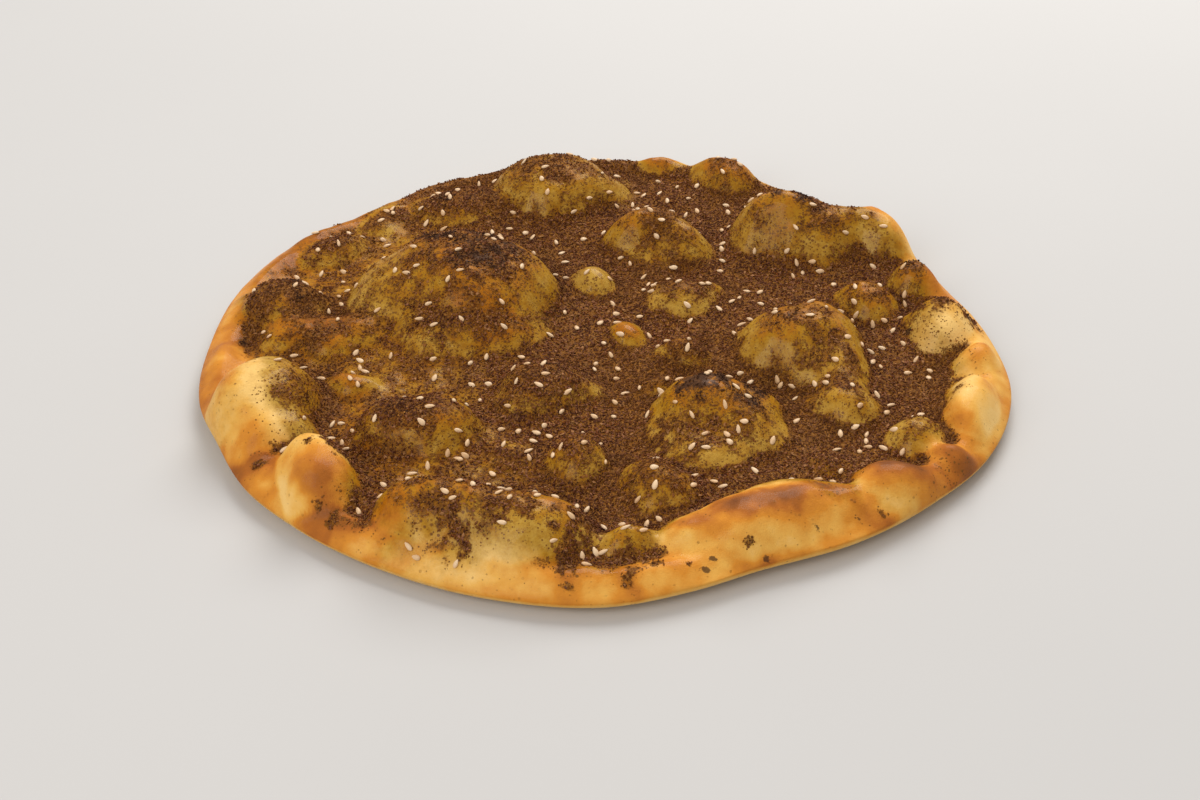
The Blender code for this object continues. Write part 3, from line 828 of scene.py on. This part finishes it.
burnt = (char + (blotch - 0.5) * 1.3 + (grain - 0.5) * 0.9).step(0.4, 0.65)
colour = mix(burnt * 0.8, covered, CHARRED)
rough = 0.5 + (grain - 0.5) * 0.2 + layer * 0.12
gloss = 0.08 + oil * (1.0 - crumbs.step(0.15, 0.6)) * 0.13 - crumbs * 0.08
relief = fine * (0.3 + layer * 0.7) + grain * (0.45 + layer) + blotch * (0.5 + oil * 0.4)
bump = relief.make("ShaderNodeBump", {"Strength": 0.55, "Distance": 0.5 * MM, "Height": relief})
connect(shader, Base_Color=colour, Roughness=rough, Coat_Weight=gloss, Normal=bump)
bread_mesh.materials.append(crust)
print("Crust material has", len(crust.node_tree.nodes), "nodes")

# %% [markdown]
# ## Crumbs from Geometry Nodes
# The topping is thousands of crumbs, too many to place by hand, and a bumpy surface alone would look
# painted at its edges. A node tree scatters points over the bread where the crumb map is high, puts a
# small grain on each, turns and scales it at random from a fixed seed, and makes the lot real. The same
# tree serves each kind of crumb with other inputs.

# %% Helpers for trees


def new_tree(name, inputs):
    """A Geometry Nodes tree with named inputs, and the wire of its Group Input."""
    tree = bpy.data.node_groups.new(name, "GeometryNodeTree")
    tree.interface.new_socket("Geometry", in_out="INPUT", socket_type="NodeSocketGeometry")
    for title, kind in inputs:
        tree.interface.new_socket(title, in_out="INPUT", socket_type="NodeSocket" + kind)
    tree.interface.new_socket("Geometry", in_out="OUTPUT", socket_type="NodeSocketGeometry")
    node = tree.nodes.new("NodeGroupInput")
    wires = {socket.name: Wire(tree, socket) for socket in node.outputs if socket.name}
    return tree, wires


def close_tree(geometry, material):
    """Makes a tree's instances real, gives them their material and ends the tree."""
    real = geometry.make("GeometryNodeRealizeInstances", {0: geometry})
    done = real.make("GeometryNodeSetMaterial", {"Geometry": real, "Material": material})
    end = geometry.tree.nodes.new("NodeGroupOutput")
    geometry.tree.links.new(done.socket, end.inputs[0])


def vector_of(x, y, z):
    """Three wires or numbers as one vector."""
    start = next(value for value in (x, y, z) if isinstance(value, Wire))
    return start.make("ShaderNodeCombineXYZ", {0: x, 1: y, 2: z})


def random_value(start, low, high, seed, kind="FLOAT"):
    """A random number or vector for each instance."""
    places = {"FLOAT": (2, 3, 1), "FLOAT_VECTOR": (0, 1, 0)}[kind]
    values = {places[0]: low, places[1]: high, "Seed": seed}
    return start.make("FunctionNodeRandomValue", values, output=places[2], data_type=kind)


print("Ready to grow trees")

# %% Scatter tree
FULL_TURN = 6.2832

crumb_tree, given = new_tree(
    "Scatter crumbs",
    (
        ("Crumbs per Square Metre", "Float"),
        ("Least Cover", "Float"),
        ("Length", "Float"),
        ("Width", "Float"),
        ("Thickness", "Float"),
        ("Lift", "Float"),
        ("Seed", "Int"),
        ("Material", "Material"),
    ),
)
host, seed = given["Geometry"], given["Seed"]
cover = host.make("GeometryNodeInputNamedAttribute", {"Name": "crumbs"}, data_type="FLOAT")
thickly = cover.make("ShaderNodeMapRange", {0: cover, 1: given["Least Cover"], 2: 1.0, 3: 0.0, 4: 1.0})
density = thickly * given["Crumbs per Square Metre"]
scattered = host.make(
    "GeometryNodeDistributePointsOnFaces", {"Mesh": host, "Density": density, "Seed": seed}
)
facing = Wire(crumb_tree, scattered.socket.node.outputs["Rotation"])
grain_size = vector_of(given["Length"], given["Width"], given["Thickness"])
lump = host.make("GeometryNodeMeshUVSphere", {"Segments": 4, "Rings": 2, "Radius": 0.5})
lump = lump.make("GeometryNodeTransform", {"Geometry": lump, "Scale": grain_size})
tumble = random_value(host, (-0.5, -0.5, 0.0), (0.5, 0.5, FULL_TURN), seed + 1, "FLOAT_VECTOR")
turned = facing.make("FunctionNodeRotateRotation", {0: facing, 1: tumble}, rotation_space="LOCAL")
spread = random_value(host, (0.55, 0.55, 0.5), (1.5, 1.4, 1.4), seed + 2, "FLOAT_VECTOR")
placed = scattered.make(
    "GeometryNodeInstanceOnPoints",
    {"Points": scattered, "Instance": lump, "Rotation": turned, "Scale": spread},
)
lift = vector_of(0.0, 0.0, random_value(host, 0.0, given["Lift"], seed + 3))
lifted = placed.make("GeometryNodeTranslateInstances", {"Instances": placed, "Translation": lift})
close_tree(lifted, given["Material"])
print("Scatter tree has", len(crumb_tree.nodes), "nodes")

# %% Growing a piece from a tree


def grow(name, host, tree, values):
    """Runs a tree on the host and keeps what it makes as a piece of its own."""
    modifier = host.modifiers.new(name, "NODES")
    modifier.node_group = tree
    for item in tree.interface.items_tree:
        if item.in_out == "INPUT" and item.name in values:
            modifier[item.identifier] = values[item.name]
    graph = bpy.context.evaluated_depsgraph_get()
    made = bpy.data.meshes.new_from_object(host.evaluated_get(graph))
    host.modifiers.remove(modifier)
    made.name = name
    piece = bpy.data.objects.new(name, made)
    bpy.context.scene.collection.objects.link(piece)
    print(name, "has", len(made.polygons), "faces")
    return piece


print("Ready to grow pieces")

# %% [markdown]
# ## Three kinds of crumb
# Za'atar is rubbed thyme, ground sumac and flakes of leaf. Rubbed thyme makes small brown slivers, sumac
# makes rounder red-brown grains, and the leaf flakes are thin, longer and fewer. A grain takes its shade
# from noise about as fine as itself, is black on charred crests, and redder where it lies alone.

# %% Crumb finish
# broad sandy drifts, grains lying alone, and grains on charred crests
SANDY, LONE_CRUMB, BLACKENED = (0.12, 0.045, 0.01), (0.22, 0.075, 0.014), (0.03, 0.014, 0.009)


def crumb_material(name, dark, light, roughness):
    """Dry crumb: each grain takes its own shade between two colours."""
    material, shader, start = new_material(name, Roughness=roughness, Specular_IOR_Level=0.04)
    where = start.make("ShaderNodeTexCoord", output=3)
    shade = noise(where, 1.1, 1.0).step(0.3, 0.7) * noise(where, 9.0, 2.0).step(0.2, 0.6)
    burnt = (attribute(start, "char") + (noise(where, 3.0, 2.0) - 0.5) * 1.2).step(0.3, 0.6)
    lone = 1.0 - attribute(start, "crumbs").step(0.25, 0.7)
    sort = mix(noise(where, 45.0, 2.0).step(0.45, 0.65) * 0.5, mix(shade, dark, light), SANDY)
    grains = mix(lone * 0.7, sort, LONE_CRUMB)
    connect(shader, Base_Color=mix(burnt * 0.85, grains, BLACKENED))
    return material


herb_finish = crumb_material("Rubbed thyme", (0.07, 0.023, 0.014), (0.33, 0.14, 0.07), 0.8)
sumac_finish = crumb_material("Ground sumac", (0.05, 0.014, 0.007), (0.2, 0.06, 0.015), 0.7)
leaf_finish = crumb_material("Dried leaf", (0.12, 0.05, 0.01), (0.4, 0.19, 0.08), 0.7)
print("Three crumb finishes")

# %% Herb, sumac and leaf pieces
Crumb = namedtuple("Crumb", "name per_square_metre least_cover length width thickness lift seed finish")

KINDS = (
    Crumb("thyme_crumbs", 0.68e6, 0.3, 1.25, 0.65, 0.5, 0.4, 100, herb_finish),
    Crumb("sumac_crumbs", 0.66e6, 0.3, 0.85, 0.75, 0.65, 0.35, 200, sumac_finish),
    Crumb("leaf_flakes", 0.08e6, 0.25, 2.1, 1.0, 0.18, 0.4, 300, leaf_finish),
)
pieces = [bread]
for kind in KINDS:
    values = {
        "Crumbs per Square Metre": kind.per_square_metre,
        "Least Cover": kind.least_cover,
        "Length": kind.length * MM,
        "Width": kind.width * MM,
        "Thickness": kind.thickness * MM,
        "Lift": kind.lift * MM,
        "Seed": kind.seed,
        "Material": kind.finish,
    }
    pieces.append(grow(kind.name, bread, crumb_tree, values))

# %% [markdown]
# ## Sesame seeds
# Sesame is a part of za'atar too. 150 seeds lie where the solid has them, by the same rule. 300 loose
# ones lie between, and gather as rolling seeds do, at the feet of bubbles and on their crowns. Five fell
# on the bare rim. A tree alone could scatter them, but not on the solid's own places, so a loop lays them
# out as points, with each seed's turn and the direction the bread faces there. A tree then puts a drop,
# flattened and blunt at one end, on each point.

# %% Where the seeds lie
SEED_LENGTH, SEED_WIDTH, SEED_THICKNESS, SEED_REST = 3.4, 2.1, 1.3, 0.35
SEED_GAP, SEED_COUNT = 4.0, 150
LOOSE_GAP, LOOSE_COUNT = 2.5, 300
# x, y and turn of those on the bare rim
FALLEN = ((-61.0, -122.0, 2.2), (-58.5, -125.0, 2.7), (-46.0, -129.0, 1.1))
FALLEN += ((-107.0, -73.0, 0.6), (-16.0, -126.0, 0.3))

gathered = 0.1 + 0.65 * smooth_step(0.3, 1.8, hollow) + 0.3 * upper
gathered = gathered * (0.5 + 0.8 * smooth_step(-0.2, 0.5, ripples(21.0, 61)))


def lay_seeds(places, count, gap, seed, lure):
    """Adds places until there are count: x, y and the bearing of each seed's long side."""
    draw = np.random.default_rng(seed)
    while len(places) < count:
        bearing, share, turn = draw.random(3) * (2 * math.pi, 1.0, math.pi)
        way = np.array([bearing])
        radius = around(OUTLINE, way)[0] * math.sqrt(share)
        x, y = radius * math.cos(bearing), radius * math.sin(bearing)
        topped = around(OUTLINE, way)[0] - radius > around(BARE_RIM, way)[0] + SEED_LENGTH / 2
        free = all(math.hypot(x - px, y - py) > gap for px, py, _ in places)
        if topped and free and (lure is None or draw.random() < read(lure, way * 0 + x, way * 0 + y)[0]):
            places.append((x, y, turn))
    return places


seeds_at = lay_seeds([], SEED_COUNT, SEED_GAP, 2024, None)
seeds_at = lay_seeds(seeds_at, SEED_COUNT + LOOSE_COUNT, LOOSE_GAP, 2025, gathered)
seeds_at = np.array(seeds_at + list(FALLEN))
print("The first seed lies at", seeds_at[0, :2].round(1), "mm")

# %% Points for the seeds


def facing_up(x, y):
    """Upward directions of the bread's top."""
    reach = 1.5
    slope_x = (top_height(x + reach, y) - top_height(x - reach, y)) / (2 * reach)
    slope_y = (top_height(x, y + reach) - top_height(x, y - reach)) / (2 * reach)
    up = np.stack([-slope_x, -slope_y, np.ones_like(x)], axis=1)
    return up / np.linalg.norm(up, axis=1)[:, None]


ups = facing_up(seeds_at[:, 0], seeds_at[:, 1])
spots = np.column_stack([seeds_at[:, :2], top_height(seeds_at[:, 0], seeds_at[:, 1])]) + ups * SEED_REST
points = bpy.data.meshes.new("seed_points")
points.from_pydata((spots * MM).tolist(), [], [])
points.attributes.new("up", "FLOAT_VECTOR", "POINT").data.foreach_set("vector", ups.ravel())
points.attributes.new("turn", "FLOAT", "POINT").data.foreach_set("value", seeds_at[:, 2])
seed_host = bpy.data.objects.new("seed_points", points)
bpy.context.scene.collection.objects.link(seed_host)
print(len(spots), "seeds")

# %% Seed tree
seed_inputs = [(title, "Float") for title in ("Length", "Width", "Thickness")]
seed_inputs += [("Seed", "Int"), ("Material", "Material")]
seed_tree, given = new_tree("Lay seeds", seed_inputs)
host, seed = given["Geometry"], given["Seed"]
ball = host.make("GeometryNodeMeshUVSphere", {"Segments": 12, "Rings": 8, "Radius": 0.5})
spot = host.make("GeometryNodeInputPosition")
parts = spot.make("ShaderNodeSeparateXYZ", {0: spot})
x, y, z = (Wire(seed_tree, socket) for socket in parts.socket.node.outputs)
# the ball becomes a drop: the further along its length, the narrower and thinner
narrow = 1.0 - (x + 0.5) * (x + 0.5) * 0.42
drop = vector_of(x * given["Length"], y * narrow * given["Width"], z * narrow * given["Thickness"])
ball = ball.make("GeometryNodeSetPosition", {"Geometry": ball, "Position": drop})
ball = ball.make("GeometryNodeSetShadeSmooth", {"Geometry": ball, "Shade Smooth": True})
up = host.make("GeometryNodeInputNamedAttribute", {"Name": "up"}, data_type="FLOAT_VECTOR")
turn = host.make("GeometryNodeInputNamedAttribute", {"Name": "turn"}, data_type="FLOAT")
flat = up.make("FunctionNodeAlignRotationToVector", {"Vector": up}, axis="Z")
tilt = random_value(host, -0.5, 0.5, seed)
tipped = vector_of(tilt, tilt * 0.7, turn)
laid = flat.make("FunctionNodeRotateRotation", {0: flat, 1: tipped}, rotation_space="LOCAL")
size = random_value(host, (0.8, 0.68, 0.8), (1.08, 1.06, 1.1), seed + 1, "FLOAT_VECTOR")
placed = host.make(
    "GeometryNodeInstanceOnPoints", {"Points": host, "Instance": ball, "Rotation": laid, "Scale": size}
)
close_tree(placed, given["Material"])
print("Seed tree has", len(seed_tree.nodes), "nodes")

# %% Seed finish and piece
CREAM, TOASTED, HUSK = (0.76, 0.55, 0.34), (0.64, 0.4, 0.2), (0.5, 0.28, 0.12)

sesame, shader, start = new_material("Toasted sesame", Specular_IOR_Level=0.45, Coat_Roughness=0.3)
where = start.make("ShaderNodeTexCoord", output=3)
warmth = noise(where, 7.0, 2.0)
husk = noise(where, 0.5, 2.0)
tint = mix(warmth.step(0.3, 0.7), CREAM, TOASTED)
tint = mix(husk.step(0.5, 0.8) * 0.35, tint, HUSK)
bump = husk.make("ShaderNodeBump", {"Strength": 0.3, "Distance": 0.1 * MM, "Height": husk})
connect(shader, Base_Color=tint, Roughness=0.38 + husk * 0.15, Normal=bump)
values = {
    "Length": SEED_LENGTH * MM,
    "Width": SEED_WIDTH * MM,
    "Thickness": SEED_THICKNESS * MM,
    "Seed": 7,
    "Material": sesame,
}
pieces.append(grow("sesame_seeds", seed_host, seed_tree, values))
bpy.data.objects.remove(seed_host)

# %% [markdown]
# ## Floor and light
# Bread looks best in broad soft daylight. A sun lamp would cut hard shadows behind each bubble. So one
# large light stands behind and above, which makes the crests shine and the near faces fall a little
# darker, and a weaker one in front opens the shadows.

# %% Floor
REACH = 3.0

floor_mesh = bpy.data.meshes.new("floor")
corners = [(x * REACH, y * REACH, 0.0) for x, y in ((-1, -1), (1, -1), (1, 1), (-1, 1))]
floor_mesh.from_pydata(corners, [], [(0, 1, 2, 3)])
floor = bpy.data.objects.new("floor", floor_mesh)
bpy.context.scene.collection.objects.link(floor)
plaster, shader, start = new_material("Pale floor", Roughness=0.8, Specular_IOR_Level=0.2)
where = start.make("ShaderNodeTexCoord", output=3)
connect(shader, Base_Color=mix(noise(where, 180.0, 3.0), (0.52, 0.51, 0.5), (0.54, 0.53, 0.52)))
floor_mesh.materials.append(plaster)
print("The floor is", 2 * REACH, "m wide")

# %% Light


def area_light(name, place, size, power, colour):
    """A square soft light that points at the bread."""
    light = bpy.data.lights.new(name, "AREA")
    light.shape, light.size, light.energy, light.color = "SQUARE", size, power, colour
    lamp = bpy.data.objects.new(name, light)
    lamp.location = place
    lamp.rotation_euler = (-Vector(place)).to_track_quat("-Z", "Y").to_euler()
    bpy.context.scene.collection.objects.link(lamp)


area_light("Window", (0.35, 1.0, 1.15), 1.1, 24.0, (1.0, 0.98, 0.95))
area_light("Front", (-0.8, -0.9, 0.9), 1.0, 10.0, (1.0, 0.97, 0.93))
world = bpy.data.worlds.new("Room")
world.use_nodes = True
glow = world.node_tree.nodes["Background"]
glow.inputs["Color"].default_value = (1.0, 0.98, 0.96, 1.0)
glow.inputs["Strength"].default_value = 0.55
bpy.context.scene.world = world
bpy.context.scene.view_settings.view_transform = "Standard"
print("Two lights and a pale room")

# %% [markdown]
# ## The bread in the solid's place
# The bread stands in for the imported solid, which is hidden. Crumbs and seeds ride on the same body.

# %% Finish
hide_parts("zaatar_manakish")
for piece in pieces:
    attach(piece, "root")
